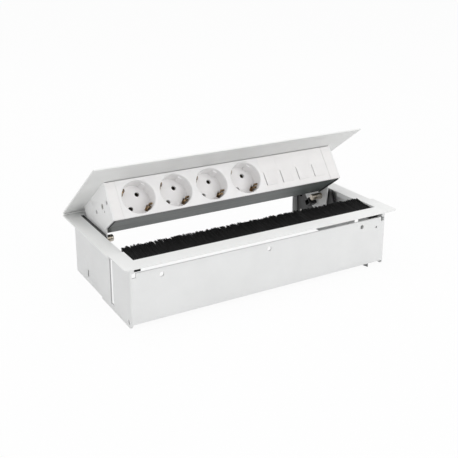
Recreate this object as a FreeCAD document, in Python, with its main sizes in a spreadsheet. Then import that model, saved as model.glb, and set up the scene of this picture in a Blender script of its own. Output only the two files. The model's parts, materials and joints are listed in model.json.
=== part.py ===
import FreeCAD, Part
import math
import os
import re
import Sketcher

# In-desk power module: a flanged sheet-metal box that drops into a desk cut-out, with a socket unit under a
# lid that tilts up out of it. Millimetres. X runs along the module, Y to the rear, Z up. The origin is the
# centre of the flange at desk level (the flange's underside).

sizes = {
    # flange ring
    "frameWidth": 186.0,
    "sheetThick": 1.5,
    "borderRise": 2.0,  # the front border stands this much above the rear part, where the lid lands
    "borderDepth": 44.5,
    "borderEdge": 0.9,
    "rimThick": 0.8,
    "rimReach": 5.0,
    "sideBand": 17.4,
    "frontBand": 20.6,
    "cornerRadius": 4.0,
    "collarDrop": 4.5,
    "collarRelief": 7.6,
    "sideCollarEnd": 92.0,
    # box under the flange
    "wallInsetX": 9.0,
    "wallInsetY": 10.0,
    "frontWallDrop": 61.8,
    "sideWallDrop": 66.5,
    "wallGap": 6.2,
    "slotInset": 4.8,
    "reliefPlace": 2.0,
    "reliefWidth": 4.4,
    "reliefDepth": 5.0,
    "bendRadius": 2.0,
    "returnEnd": 91.0,
    "toeRadius": 5.0,
    "toeHole": 2.5,
    "toeHolePlace": 6.0,
    "fixingHolePlace": 128.0,
    "fixingHoleDrop": 13.5,
    "fixingHoleRadius": 2.5,
    "smallHolePlace": 149.6,
    "smallHoleDrop": 17.5,
    "smallHoleRadius": 1.3,
    "clampSlotPlace": 60.5,
    "clampSlotWidth": 7.5,
    "clampSlotTop": 9.0,
    "clampSlotBottom": 60.5,
    "panelLap": 17.0,
    "wingWidth": 16.0,
    "hookSlotPlace": 48.5,
    "hookSlotDrop": 55.3,
    "hookSlotWidth": 3.0,
    "hookSlotHeight": 8.5,
    "hookReach": 1.0,
    # brush strip
    "railThick": 4.4,
    "railTop": 1.5,
    "railBottom": 4.9,
    "railEndLength": 14.5,
    "railEndDrop": 10.2,
    "railEndGap": 0.5,
    "bristleLength": 28.5,
    "bristleThick": 4.4,
    "bristleTop": 1.2,
    "softGap": 0.3,
    # foot on the front wall
    "footPlace": 136.8,
    "footWidth": 6.6,
    "footThick": 3.0,
    "footStem": 7.0,
    "footToeDrop": 1.4,
    # lid and its tilt
    "openAngle": 36.3,
    "lidThick": 1.8,
    "lidGap": 0.2,
    "lidFrontGap": 0.5,
    "lidRearInset": 1.5,
    # socket unit, measured from the tilt axis: forwards along the lid and down from it
    "panelFront": 97.0,
    "tabThick": 0.8,
    "cupGap": 0.3,
    "modulePitch": 45.0,
    "blankPitch": 23.0,
    "plateThick": 2.5,
    "stripLeft": 10.9,
    "stripRight": 13.1,
    "stripSeamLeft": 0.1,
    "stripSeamRight": 0.4,
    "housingDepth": 49.0,
    "housingWall": 1.0,
    "gasketThick": 1.2,
    "gasketProud": 1.2,
    "endThick": 1.5,
    # end plates
    "endRear": 16.0,
    "tabWidth": 11.0,
    "tabGap": 2.0,
    "lobeFrontTop": 69.0,
    "lobeFrontReach": 2.5,
    "lobeRearReach": 9.5,
    "lobeReach": 16.5,
    "heelReach": 8.5,
    "heelRear": 23.0,
    "heelTop": 46.0,
    "rivetRadius": 2.5,
    "rivetHead": 1.0,
    "rivetPlaceA": 24.0,
    "rivetInset": 9.0,
    # guide pins and the plates that they run in
    "pinInset": 1.5,
    "pinDrop": 1.6,
    "pinRadius": 4.0,
    "pinChamfer": 0.8,
    "pinReachLeft": 11.5,
    "pinReachRight": 14.5,
    "rearPinForward": 20.0,
    "rearPinDown": 24.0,
    "rearPinRadius": 3.0,
    "rearPinHead": 4.5,
    "runGap": 0.4,
    "guideGap": 1.0,
    "guideThick": 3.4,
    "guideTopGap": 0.3,
    "openingGap": 0.2,
    "guideFront": 83.5,
    "guideNose": 94.5,
    "guideNoseDrop": 20.0,
    "guideToe": 50.0,
    "guideDrop": 61.0,
    "guideRear": 12.5,
    "guideScrewFrontPlace": 76.0,
    "guideScrewFrontDrop": 27.0,
    "guideScrewRearPlace": 22.5,
    "guideScrewRearDrop": 46.0,
    "studRadius": 4.0,
    "screwRadius": 1.6,
    "screwHead": 3.2,
    # sockets
    "recessRadius": 18.8,
    "recessDepth": 17.5,
    "cupWall": 1.2,
    "floorThick": 3.0,
    "rimChamfer": 0.8,
    "socketTurn": 53.0,
    "pinPitch": 19.0,
    "pinHoleRadius": 2.7,
    "ribWidth": 5.0,
    "ribThick": 1.3,
    "ribStop": 5.0,
    "strapWidth": 7.0,
    "strapThick": 1.0,
    "clipRadius": 17.9,
    "clipKnee": 3.2,
    "clipReach": 15.5,
    "clipBend": 7.0,
    "clipKneePlace": 10.9,
    "slotPlay": 0.3,
    "railBarThick": 2.4,
    "railBarHeight": 7.0,
    "railBarEnd": 13.0,
    "carrierDepth": 14.0,
    "carrierGap": 3.5,
    "carrierEndGap": 1.0,
    # blank data modules
    "blankBodyWidth": 17.0,
    "blankBodyGap": 4.5,
    "blankBodyDepth": 14.0,
    "flapWidth": 13.0,
    "flapHeight": 16.0,
    "flapLift": 0.7,
    "flapSide": 2.8,
    "flapDrop": 20.3,
    "slitWidth": 0.8,
    "stripClipWidth": 6.0,
    "stripClipDepth": 8.0,
    # power inlet and terminal block
    "inletWidth": 11.0,
    "inletDepth": 10.5,
    "inletHeight": 9.0,
    "inletPinGap": 8.0,
    "inletGap": 1.0,
    "inletWall": 1.5,
    "inletPocket": 6.0,
    "terminalWidth": 34.0,
    "terminalDepth": 15.0,
    "terminalHeight": 18.0,
    # small holes and screws in the end plates
    "endScrewForward": 75.2,
    "endScrewDown": 19.8,
    "endScrewRadius": 3.3,
    "endHoleRadius": 2.4,
    "endHoleFrontForward": 90.5,
    "endHoleFrontDown": 21.0,
    "endHoleRearForward": 52.8,
    "endHoleRearDown": 18.6,
    "endDotForward": 77.6,
    "endDotDown": 27.0,
    "endDotRadius": 1.2,
    "endSlitInset": 3.0,
    "endSlitDown": 4.0,
    "endSlitWidth": 1.2,
    "endSlitHeight": 4.0,
}

derived = {
    "tiltY": "frameWidth / 2 - lidRearInset",
    "tiltZ": "sheetThick + lidGap",
    "openingX": "guideOutX + openingGap",
    "frameHalf": "openingX + sideBand",
    "lidDepth": "frameWidth - lidRearInset - borderDepth - lidFrontGap",
    "openingFront": "frontBand - frameWidth / 2",
    "openingRear": "frameWidth / 2 - wallInsetY - sheetThick",
    "wallX": "frameHalf - wallInsetX",
    "wallInX": "wallX - sheetThick",
    "panelInX": "wallInX - sheetThick",
    "wallFront": "wallInsetY - frameWidth / 2",
    "wallRear": "frameWidth / 2 - wallInsetY",
    "unitLength": "stripLeft + stripRight + 4 * modulePitch + 4 * blankPitch",
    "endInX": "unitLength / 2",
    "endOutX": "endInX + endThick",
    "housingX": "endInX - gasketThick",
    "guideInX": "endOutX + guideGap",
    "guideOutX": "guideInX + guideThick",
    "moduleHeight": "2 * (cupRadius + cupGap + housingWall)",
    "panelBottom": "tabThick + moduleHeight",
    "pinDown": "panelBottom + pinDrop + pinRadius",
    "lobeDrop": "pinDown + lobeReach",
    "heelDrop": "pinDown + heelReach",
    "inletRear": "pinForward - pinRadius - inletPinGap - inletDepth",
    "inletDown": "panelBottom + gasketProud + inletGap",
    "carrierHeight": "moduleHeight - 2 * housingWall - 2 * carrierGap",
    "blankBodyHeight": "moduleHeight - 2 * housingWall - 2 * blankBodyGap",
    "socketDown": "tabThick + moduleHeight / 2",
    "plateBack": "panelFront - plateThick",
    "housingRear": "panelFront - housingDepth",
    "tabFront": "housingRear - tabGap",
    "rivetPlaceB": "housingRear - rivetInset",
    "pinForward": "housingRear - pinInset",
    "endSlitForward": "housingRear - endSlitInset",
    "lobeFront": "pinForward + lobeFrontReach",
    "lobeRear": "pinForward - lobeRearReach",
    "cupRadius": "recessRadius + cupWall",
    "floorFront": "panelFront - recessDepth",
    "floorBack": "floorFront - floorThick",
    "strapBack": "floorBack - strapThick",
    "railFront": "strapBack - slotPlay",
    "railBack": "railFront - railBarThick",
    "firstSocket": "stripLeft - unitLength / 2 + modulePitch / 2",
    "firstBlank": "stripLeft - unitLength / 2 + 4 * modulePitch",
}

doc = FreeCAD.newDocument("InDeskPowerModule")
sheet = doc.addObject("Spreadsheet::Sheet", "Sheet")
for row, (alias, value) in enumerate(sizes.items(), start=1):
    sheet.set("A%d" % row, alias)
    sheet.set("B%d" % row, str(value))
    sheet.setAlias("B%d" % row, alias)
doc.recompute()

derivedWord = re.compile(r"\b(" + "|".join(derived) + r")\b")
sizeWord = re.compile(r"\b(" + "|".join(sizes) + r")\b")
nodes = []


def full(text):
    """Spells out the derived names in a formula and points its sizes at the sheet."""
    while derivedWord.search(text):
        text = derivedWord.sub(lambda word: "(" + derived[word.group(1)] + ")", text)
    return sizeWord.sub(r"Sheet.\1", text)


def bind(item, prop, text):
    item.setExpression(prop, full(text))


def number(text):
    return float(sheet.evalExpression(full(text).replace("Sheet.", "")))


def place(item, at):
    for letter, text in zip("xyz", at):
        bind(item, "Placement.Base." + letter, text)


def turn(item, axis, text):
    item.Placement.Rotation = FreeCAD.Rotation(axis, 1)
    bind(item, "Placement.Rotation.Angle", text)


xAxis = FreeCAD.Vector(1, 0, 0)
yAxis = FreeCAD.Vector(0, 1, 0)


# Primitives and booleans


def block(name, corner, size):
    item = doc.addObject("Part::Box", name)
    for prop, text in zip(("Length", "Width", "Height"), size):
        bind(item, prop, text)
    place(item, corner)
    return item


def rod(name, start, along, radius, length):
    """A cylinder from its start point along +X, +Y or +Z."""
    item = doc.addObject("Part::Cylinder", name)
    bind(item, "Radius", radius)
    bind(item, "Height", length)
    if along == "x":
        item.Placement.Rotation = FreeCAD.Rotation(yAxis, 90)
    if along == "y":
        item.Placement.Rotation = FreeCAD.Rotation(xAxis, -90)
    place(item, start)
    return item


def cone(name, start, along, radiusA, radiusB, length):
    item = doc.addObject("Part::Cone", name)
    bind(item, "Radius1", radiusA)
    bind(item, "Radius2", radiusB)
    bind(item, "Height", length)
    if along == "x":
        item.Placement.Rotation = FreeCAD.Rotation(yAxis, 90)
    if along == "y":
        item.Placement.Rotation = FreeCAD.Rotation(xAxis, -90)
    place(item, start)
    return item


def fuse(name, *items):
    item = doc.addObject("Part::MultiFuse", name)
    item.Shapes = list(items)
    return item


def cut(name, base, *tools):
    item = doc.addObject("Part::Cut", name)
    item.Base = base
    item.Tool = tools[0] if len(tools) == 1 else fuse(name + "_tools", *tools)
    return item


def group(name, *items):
    item = doc.addObject("Part::Compound", name)
    item.Links = list(items)
    return item


# PartDesign bodies


def newBody(name):
    return doc.addObject("PartDesign::Body", name)


def newSketch(body, name, role, offset):
    sketch = body.newObject("Sketcher::SketchObject", name)
    plane = [item for item in body.Origin.OriginFeatures if item.Role == role][0]
    sketch.AttachmentSupport = [(plane, "")]
    sketch.MapMode = "FlatFace"
    bind(sketch, "AttachmentOffset.Base.z", offset)
    return sketch


def drawOutline(sketch, points):
    """A closed outline of straight lines whose corners are held by formulas."""
    corners = [FreeCAD.Vector(number(x), number(y), 0) for x, y in points]
    first = sketch.GeometryCount
    count = len(points)
    for index in range(count):
        line = Part.LineSegment(corners[index], corners[(index + 1) % count])
        sketch.addGeometry(line, False)
    for index in range(count):
        here = first + index
        following = first + (index + 1) % count
        sketch.addConstraint(Sketcher.Constraint("Coincident", here, 2, following, 1))
    for index, (x, y) in enumerate(points):
        for kind, text in (("DistanceX", x), ("DistanceY", y)):
            made = sketch.addConstraint(Sketcher.Constraint(kind, first + index, 1, number(text)))
            bind(sketch, "Constraints[%d]" % made, text)


def drawRectangle(sketch, low, high):
    drawOutline(sketch, [low, (high[0], low[1]), high, (low[0], high[1])])


def drawCircle(sketch, centre, radius):
    middle = FreeCAD.Vector(number(centre[0]), number(centre[1]), 0)
    shape = Part.Circle(middle, FreeCAD.Vector(0, 0, 1), number(radius))
    index = sketch.addGeometry(shape, False)
    made = sketch.addConstraint(Sketcher.Constraint("Radius", index, number(radius)))
    bind(sketch, "Constraints[%d]" % made, radius)
    for kind, text in (("DistanceX", centre[0]), ("DistanceY", centre[1])):
        made = sketch.addConstraint(Sketcher.Constraint(kind, index, 3, number(text)))
        bind(sketch, "Constraints[%d]" % made, text)


def pad(body, sketch, length):
    item = body.newObject("PartDesign::Pad", sketch.Name + "_pad")
    item.Profile = sketch
    bind(item, "Length", length)
    body.Tip = item
    doc.recompute()
    return item


def drawCornerRound(sketch, corner, radius):
    """The waste between a lower left corner and the arc that rounds it."""
    x, y = corner
    stops = [(x + " + " + radius, y), (x, y), (x, y + " + " + radius)]
    spots = [FreeCAD.Vector(number(u), number(v), 0) for u, v in stops]
    size = number(radius)
    middle = spots[1] + FreeCAD.Vector(size, size, 0)
    first = sketch.addGeometry(Part.LineSegment(spots[0], spots[1]), False)
    second = sketch.addGeometry(Part.LineSegment(spots[1], spots[2]), False)
    circle = Part.Circle(middle, FreeCAD.Vector(0, 0, 1), size)
    arc = sketch.addGeometry(Part.ArcOfCircle(circle, math.pi, math.pi * 1.5), False)
    sketch.addConstraint(Sketcher.Constraint("Coincident", first, 2, second, 1))
    sketch.addConstraint(Sketcher.Constraint("Coincident", second, 2, arc, 1))
    sketch.addConstraint(Sketcher.Constraint("Coincident", arc, 2, first, 1))
    for line, end, (u, v) in ((first, 1, stops[0]), (second, 1, stops[1]), (second, 2, stops[2])):
        for kind, text in (("DistanceX", u), ("DistanceY", v)):
            made = sketch.addConstraint(Sketcher.Constraint(kind, line, end, number(text)))
            bind(sketch, "Constraints[%d]" % made, text)
    made = sketch.addConstraint(Sketcher.Constraint("Radius", arc, size))
    bind(sketch, "Constraints[%d]" % made, radius)


def pocket(body, sketch, length, forwards=False):
    """Cuts against the sketch's normal or forwards along it, and makes sure that something was cut."""
    before = body.Shape.Volume
    item = body.newObject("PartDesign::Pocket", sketch.Name + "_pocket")
    item.Profile = sketch
    item.Reversed = forwards
    bind(item, "Length", length)
    body.Tip = item
    doc.recompute()
    if body.Shape.Volume > before - 0.01:
        raise ValueError(sketch.Name + " cuts nothing")
    return item


def roundEdges(body, radius, wanted):
    """Fillets the body's straight edges that pass the test given for their two ends."""
    names = []
    base = body.Tip
    for index, edge in enumerate(base.Shape.Edges, start=1):
        if len(edge.Vertexes) == 2 and wanted(edge.Vertexes[0].Point, edge.Vertexes[1].Point):
            names.append("Edge%d" % index)
    if not names:
        raise ValueError(body.Name + " has no such edges")
    item = body.newObject("PartDesign::Fillet", body.Name + "_round")
    item.Base = (base, names)
    bind(item, "Radius", radius)
    body.Tip = item
    doc.recompute()
    return item


def isUpright(a, b):
    return abs(a.x - b.x) < 0.001 and abs(a.y - b.y) < 0.001


def slab(name, low, high):
    """A rectangular plate or bar as a padded sketch."""
    body = newBody(name)
    sketch = newSketch(body, name + "_outline", "XY_Plane", low[2])
    drawRectangle(sketch, (low[0], low[1]), (high[0], high[1]))
    pad(body, sketch, "(%s) - (%s)" % (high[2], low[2]))
    return body


def sideways(sign, near, far):
    """The lower X of a stretch that lies between near and far on the side of the given sign."""
    return near if sign > 0 else "-(%s)" % far


def keep(label, item):
    """Lists an item as a sub-part fixed in the frame."""
    item.Label = label
    nodes.append(item)
    return item


def keepTilted(label, item, x="0"):
    """Lists an item as a sub-part of the tilting unit. It is drawn as it lies with the lid shut, in a frame
    with its origin on the tilt axis, and is then placed on that axis at the open angle."""
    turn(item, xAxis, "-openAngle")
    place(item, (x, "tiltY", "tiltZ"))
    return keep(label, item)


sides = (("left", -1), ("right", 1))


# Flange ring: the rear part is one sheet thick and the front border stands higher, level with the shut lid


def makeTopFrame():
    body = newBody("top_frame_body")
    base = newSketch(body, "flange_outline", "XY_Plane", "0")
    half = ("frameHalf", "frameWidth / 2")
    drawRectangle(base, ("-frameHalf", "-frameWidth / 2"), half)
    pad(body, base, "sheetThick")
    border = newSketch(body, "border_outline", "XY_Plane", "sheetThick")
    drawRectangle(border, ("-frameHalf", "-frameWidth / 2"), (half[0], "borderDepth - frameWidth / 2"))
    pad(body, border, "borderRise")
    # the border stands out over its seat as a thin rim along the front and the front part of each side
    seatX = "(frameHalf - rimReach)"
    seatY = "rimReach - frameWidth / 2"
    back = "borderDepth - frameWidth / 2"
    rim = newSketch(body, "rim_undercut", "XY_Plane", "0")
    drawOutline(
        rim,
        [
            ("-frameHalf", back),
            ("-frameHalf", "-frameWidth / 2"),
            ("frameHalf", "-frameWidth / 2"),
            ("frameHalf", back),
            (seatX, back),
            (seatX, seatY),
            ("-" + seatX, seatY),
            ("-" + seatX, back),
        ],
    )
    pocket(body, rim, "sheetThick + borderRise - rimThick", True)
    opening = newSketch(body, "opening_outline", "XY_Plane", "sheetThick + borderRise")
    drawRectangle(opening, ("-openingX", "openingFront"), ("openingX", "openingRear"))
    pocket(body, opening, "sheetThick + borderRise")
    collar = newSketch(body, "collar_outline", "XY_Plane", "-collarDrop")
    drawRectangle(
        collar,
        ("collarRelief - openingX", "openingFront - sheetThick"),
        ("openingX - collarRelief", "openingFront"),
    )
    for sign in (-1, 1):
        low = sideways(sign, "openingX", "openingX + sheetThick")
        high = sideways(sign, "openingX + sheetThick", "openingX")
        drawRectangle(
            collar,
            (low, "openingFront + collarRelief"),
            (high, "sideCollarEnd - frameWidth / 2"),
        )
    pad(body, collar, "collarDrop")
    half = (number("frameHalf"), number("frameWidth / 2"))
    roundEdges(
        body,
        "cornerRadius",
        lambda a, b: isUpright(a, b) and abs(abs(a.x) - half[0]) < 0.01 and abs(abs(a.y) - half[1]) < 0.01,
    )
    inner = number("openingFront")
    top = number("sheetThick + borderRise")
    roundEdges(
        body,
        "borderEdge",
        lambda a, b: abs(a.y - inner) < 0.01 and abs(b.y - inner) < 0.01
        and abs(a.z - top) < 0.01 and abs(b.z - top) < 0.01,
    )
    keep("top_frame", body)


# Box: a folded front shell with side returns, and a panel inside each return that runs on to the rear


def makeFrontShell():
    body = newBody("front_shell_body")
    end = "returnEnd - frameWidth / 2"
    profile = newSketch(body, "shell_profile", "XY_Plane", "-sideWallDrop")
    drawOutline(
        profile,
        [
            ("-wallX", end),
            ("-wallX", "wallFront"),
            ("wallX", "wallFront"),
            ("wallX", end),
            ("wallInX", end),
            ("wallInX", "wallFront + sheetThick"),
            ("-wallInX", "wallFront + sheetThick"),
            ("-wallInX", end),
        ],
    )
    pad(body, profile, "sideWallDrop")
    outer = number("wallX")
    front = number("wallFront")
    roundEdges(
        body,
        "bendRadius",
        lambda a, b: isUpright(a, b) and abs(abs(a.x) - outer) < 0.01 and abs(a.y - front) < 0.01,
    )
    # the front wall is shorter than its returns, and a slot parts it from the flange but at its two ends
    openings = newSketch(body, "wall_openings", "XZ_Plane", "-wallFront - sheetThick")
    drawRectangle(openings, ("bendRadius - wallX", "-sideWallDrop"), ("wallX - bendRadius", "-frontWallDrop"))
    drawRectangle(openings, ("slotInset - wallX", "-wallGap"), ("wallX - slotInset", "0"))
    for spot in ("-fixingHolePlace", "0", "fixingHolePlace"):
        drawCircle(openings, (spot, "-fixingHoleDrop"), "fixingHoleRadius")
    drawCircle(openings, ("smallHolePlace", "-smallHoleDrop"), "smallHoleRadius")
    pocket(body, openings, "sheetThick", True)
    relief = newSketch(body, "corner_reliefs", "XZ_Plane", "-wallFront - sheetThick")
    for sign in (-1, 1):
        low = sideways(sign, "(wallX - reliefPlace - reliefWidth)", "(wallX - reliefPlace)")
        high = sideways(sign, "(wallX - reliefPlace)", "(wallX - reliefPlace - reliefWidth)")
        drawRectangle(relief, (low, "-wallGap - reliefDepth"), (high, "-wallGap"))
    pocket(body, relief, "sheetThick", True)
    holes = newSketch(body, "return_openings", "YZ_Plane", "wallX")
    slotMiddle = "clampSlotPlace - frameWidth / 2"
    drawRectangle(
        holes,
        (slotMiddle + " - clampSlotWidth / 2", "-clampSlotBottom"),
        (slotMiddle + " + clampSlotWidth / 2", "-clampSlotTop"),
    )
    drawCircle(holes, ("wallFront + toeHolePlace", "toeHolePlace - sideWallDrop"), "toeHole")
    drawCornerRound(holes, ("wallFront", "-sideWallDrop"), "toeRadius")
    pocket(body, holes, "2 * wallX")
    keep("front_shell", body)


def makeSidePanels():
    for side, sign in sides:
        body = newBody("side_panel_%s_body" % side)
        low = sideways(sign, "panelInX", "wallInX")
        wall = newSketch(body, "panel_%s" % side, "YZ_Plane", low)
        drawRectangle(wall, ("returnEnd - panelLap - frameWidth / 2", "-sideWallDrop"), ("wallRear", "0"))
        middle = "tiltY - hookSlotPlace"
        drawRectangle(
            wall,
            (middle + " - hookSlotWidth / 2", "-hookSlotDrop - hookSlotHeight / 2"),
            (middle + " + hookSlotWidth / 2", "hookSlotHeight / 2 - hookSlotDrop"),
        )
        pad(body, wall, "sheetThick")
        studs = newSketch(body, "studs_%s" % side, "YZ_Plane", sideways(sign, "guideOutX", "panelInX"))
        for along, down in guideScrews:
            for radius in ("studRadius", "screwRadius"):
                drawCircle(studs, ("tiltY - %s" % along, "-(%s)" % down), radius)
        pad(body, studs, "panelInX - guideOutX")
        wing = newSketch(body, "wing_%s" % side, "XY_Plane", "-sideWallDrop")
        near = "wallInX - wingWidth"
        a = sideways(sign, near, "wallInX")
        b = sideways(sign, "wallInX", near)
        drawRectangle(wing, (a, "wallRear - sheetThick"), (b, "wallRear"))
        pad(body, wing, "sideWallDrop")
        rear = number("wallRear")
        outer = number("wallInX")
        roundEdges(
            body,
            "bendRadius",
            lambda p, q: isUpright(p, q) and abs(p.y - rear) < 0.01 and abs(abs(p.x) - outer) < 0.01,
        )
        keep("side_panel_" + side, body)


def makeFoot():
    body = newBody("front_foot_body")
    stem = newSketch(body, "foot_stem", "XZ_Plane", "-wallFront - sheetThick - footThick")
    drawRectangle(
        stem,
        ("footPlace - footWidth / 2", "-frontWallDrop"),
        ("footPlace + footWidth / 2", "footStem - frontWallDrop"),
    )
    pad(body, stem, "footThick")
    toe = newSketch(body, "foot_toe", "XZ_Plane", "-wallFront - sheetThick - footThick")
    drawOutline(
        toe,
        [
            ("footPlace - footWidth / 2", "-frontWallDrop"),
            ("footPlace - footWidth / 2", "-frontWallDrop - footToeDrop"),
            ("footPlace + footWidth / 2", "-sideWallDrop"),
            ("footPlace + footWidth / 2", "-frontWallDrop"),
        ],
    )
    pad(body, toe, "footThick + sheetThick")
    keep("front_foot", body)


# Brush strip behind the front border: a rail with bristles that cables pass through


def makeBrush():
    rail = newBody("brush_rail_body")
    face = newSketch(rail, "rail_outline", "XZ_Plane", "-openingFront - railThick")
    ends = "(wallInX - railEndGap)"
    inner = "(wallInX - railEndGap - railEndLength)"
    top = "(openingX - softGap)"
    half = [
        (inner, "-railBottom"),
        (inner, "-railEndDrop"),
        (ends, "-railEndDrop"),
        (ends, "-softGap"),
        (top, "-softGap"),
        (top, "railTop"),
    ]
    drawOutline(face, half + [("-" + x, z) for x, z in reversed(half)])
    pad(rail, face, "railThick")
    keep("brush_rail", rail)
    bristles = slab(
        "brush_bristles_body",
        ("softGap - openingX", "openingFront + railThick + softGap", "bristleTop - bristleThick"),
        ("openingX - softGap", "openingFront + railThick + softGap + bristleLength", "bristleTop"),
    )
    keep("brush_bristles", bristles)


# Guide plates: the unit's pins run in their arc slots, which are centred on the lid's rear edge


def arcSlot(name, x, depth, forward, down, radius):
    """The space swept by a pin of the unit from the open to the shut pose, with the running gap round it."""
    wide = "(%s) + runGap" % radius
    reach = "sqrt((%s) ^ 2 + (%s) ^ 2)" % (forward, down)
    rings = []
    for part, extra in (("outer", "+"), ("inner", "-")):
        ring = doc.addObject("Part::Cylinder", "%s_%s" % (name, part))
        bind(ring, "Radius", "%s %s (%s)" % (reach, extra, wide))
        bind(ring, "Height", depth)
        bind(ring, "Angle", "openAngle")
        rings.append(ring)
    sector = cut(name + "_sector", *rings)
    sector.Placement.Rotation = FreeCAD.Rotation(yAxis, 90)
    swept = group(name + "_swept", sector)
    turn(swept, xAxis, "-(openAngle * 1deg + atan((%s) / (%s)))" % (forward, down))
    place(swept, (x, "tiltY", "tiltZ"))
    shut = rod(name + "_shut", (x, "tiltY - (%s)" % forward, "tiltZ - (%s)" % down), "x", wide, depth)
    end = rod(name + "_end", ("0", "-(%s)" % forward, "-(%s)" % down), "x", wide, depth)
    opened = group(name + "_open", end)
    turn(opened, xAxis, "-openAngle")
    place(opened, (x, "tiltY", "tiltZ"))
    return [swept, shut, opened]


guideScrews = (
    ("guideScrewFrontPlace", "guideScrewFrontDrop"),
    ("guideScrewRearPlace", "guideScrewRearDrop"),
)


def makeGuidePlates():
    outline = [
        ("tiltY - guideFront", "sheetThick - guideTopGap"),
        ("tiltY - guideNose", "-guideNoseDrop"),
        ("tiltY - guideToe", "-guideDrop"),
        ("tiltY - guideRear", "-guideDrop"),
        ("tiltY - guideRear", "sheetThick - guideTopGap"),
    ]
    for side, sign in sides:
        name = "guide_plate_" + side
        body = newBody(name + "_body")
        inner = sideways(sign, "guideInX", "guideOutX")
        plate = newSketch(body, name + "_outline", "YZ_Plane", inner)
        drawOutline(plate, outline)
        pad(body, plate, "guideThick")
        holes = arcSlot(name + "_slot", inner, "guideThick", "pinForward", "pinDown", "pinRadius")
        rear = ("rearPinForward", "rearPinDown", "rearPinRadius")
        holes += arcSlot(name + "_rear_slot", inner, "guideThick", *rear)
        holes += guideScrewParts(name + "_bore", sign)
        hook = block(
            name + "_hook",
            (
                sideways(sign, "guideOutX", "panelInX + hookReach"),
                "tiltY - hookSlotPlace - hookSlotWidth / 2 + slotPlay",
                "slotPlay - hookSlotDrop - hookSlotHeight / 2",
            ),
            (
                "panelInX + hookReach - guideOutX",
                "hookSlotWidth - 2 * slotPlay",
                "hookSlotHeight - 2 * slotPlay",
            ),
        )
        keep(name, cut(name, fuse(name + "_solid", body, hook), *holes))
        screws = guideScrewParts(name + "_screw", sign)
        pairs = [fuse("%s_screw_%d" % (name, index), *screws[index : index + 2]) for index in (0, 2)]
        keep("guide_screws_" + side, group("guide_screws_" + side, *pairs))


def guideScrewParts(name, sign):
    """Shank and sunk head of the two screws that hold a guide plate to the studs on its side panel."""
    parts = []
    for along, down in guideScrews:
        at = ("tiltY - %s" % along, "-(%s)" % down)
        tag = "%s_%s" % (name, along)
        low = sideways(sign, "guideInX", "panelInX")
        parts.append(rod(tag + "_shank", (low, *at), "x", "screwRadius", "panelInX - guideInX"))
        headLow = sideways(sign, "guideInX", "(guideInX + screwHead - screwRadius)")
        radii = ("screwHead", "screwRadius") if sign > 0 else ("screwRadius", "screwHead")
        parts.append(cone(tag + "_head", (headLow, *at), "x", *radii, "screwHead - screwRadius"))
    return parts


# Lid and housing of the tilting unit


def makeLid():
    body = newBody("lid_body")
    sheetTop = newSketch(body, "lid_outline", "XY_Plane", "0")
    drawRectangle(sheetTop, ("-frameHalf", "-lidDepth"), ("frameHalf", "0"))
    pad(body, sheetTop, "lidThick")
    rear = -0.01
    roundEdges(body, "cornerRadius", lambda a, b: isUpright(a, b) and a.y > rear)
    keepTilted("lid", body)


def makeHousing():
    body = newBody("unit_housing_body")
    profile = newSketch(body, "housing_profile", "YZ_Plane", "-housingX")
    front = "-plateBack"
    rear = "-housingRear"
    drawOutline(
        profile,
        [
            (front, "-tabThick"),
            (front, "-tabThick - housingWall"),
            (rear + " - housingWall", "-tabThick - housingWall"),
            (rear + " - housingWall", "housingWall - panelBottom"),
            (front, "housingWall - panelBottom"),
            (front, "-panelBottom"),
            (rear, "-panelBottom"),
            (rear, "-tabThick"),
        ],
    )
    pad(body, profile, "2 * housingX")
    keepTilted("unit_housing", body)


def makeEndPlates():
    outline = [
        ("-panelFront", "0"),
        ("-panelFront", "-panelBottom"),
        ("-lobeFrontTop", "-panelBottom"),
        ("-lobeFront", "-lobeDrop"),
        ("-lobeRear", "-lobeDrop"),
        ("-heelRear", "-heelDrop"),
        ("-endRear", "-heelTop"),
        ("-endRear", "0"),
    ]
    holes = (
        ("endHoleFrontForward", "endHoleFrontDown", "endHoleRadius"),
        ("endHoleRearForward", "endHoleRearDown", "endHoleRadius"),
        ("endDotForward", "endDotDown", "endDotRadius"),
        ("endScrewForward", "endScrewDown", "endScrewRadius"),
        ("pinForward", "pinDown", "pinRadius"),
        ("rearPinForward", "rearPinDown", "rearPinRadius"),
    )
    for side, sign in sides:
        body = newBody("end_plate_%s_body" % side)
        plate = newSketch(body, "end_outline_" + side, "YZ_Plane", sideways(sign, "endInX", "endOutX"))
        drawOutline(plate, outline)
        for forward, down, radius in holes:
            drawCircle(plate, ("-(%s)" % forward, "-(%s)" % down), radius)
        drawRectangle(
            plate,
            ("-endSlitForward - endSlitWidth / 2", "-endSlitDown - endSlitHeight / 2"),
            ("endSlitWidth / 2 - endSlitForward", "endSlitHeight / 2 - endSlitDown"),
        )
        pad(body, plate, "endThick")
        tab = newSketch(body, "end_tab_" + side, "XY_Plane", "-tabThick")
        a = sideways(sign, "endInX - tabWidth", "endInX")
        b = sideways(sign, "endInX", "endInX - tabWidth")
        drawRectangle(tab, (a, "-tabFront"), (b, "-endRear - tabThick"))
        pad(body, tab, "tabThick")
        spots = [(number(forward), number(down)) for forward, down in outline[3:7]]
        roundEdges(
            body,
            "pinRadius",
            lambda p, q: abs(p.x - q.x) > 0.1
            and any(abs(p.y - y) < 0.01 and abs(p.z - z) < 0.01 for y, z in spots),
        )
        keepTilted("end_plate_" + side, body)
        makeRivets(side, sign)
        makeEndScrew(side, sign)


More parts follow.
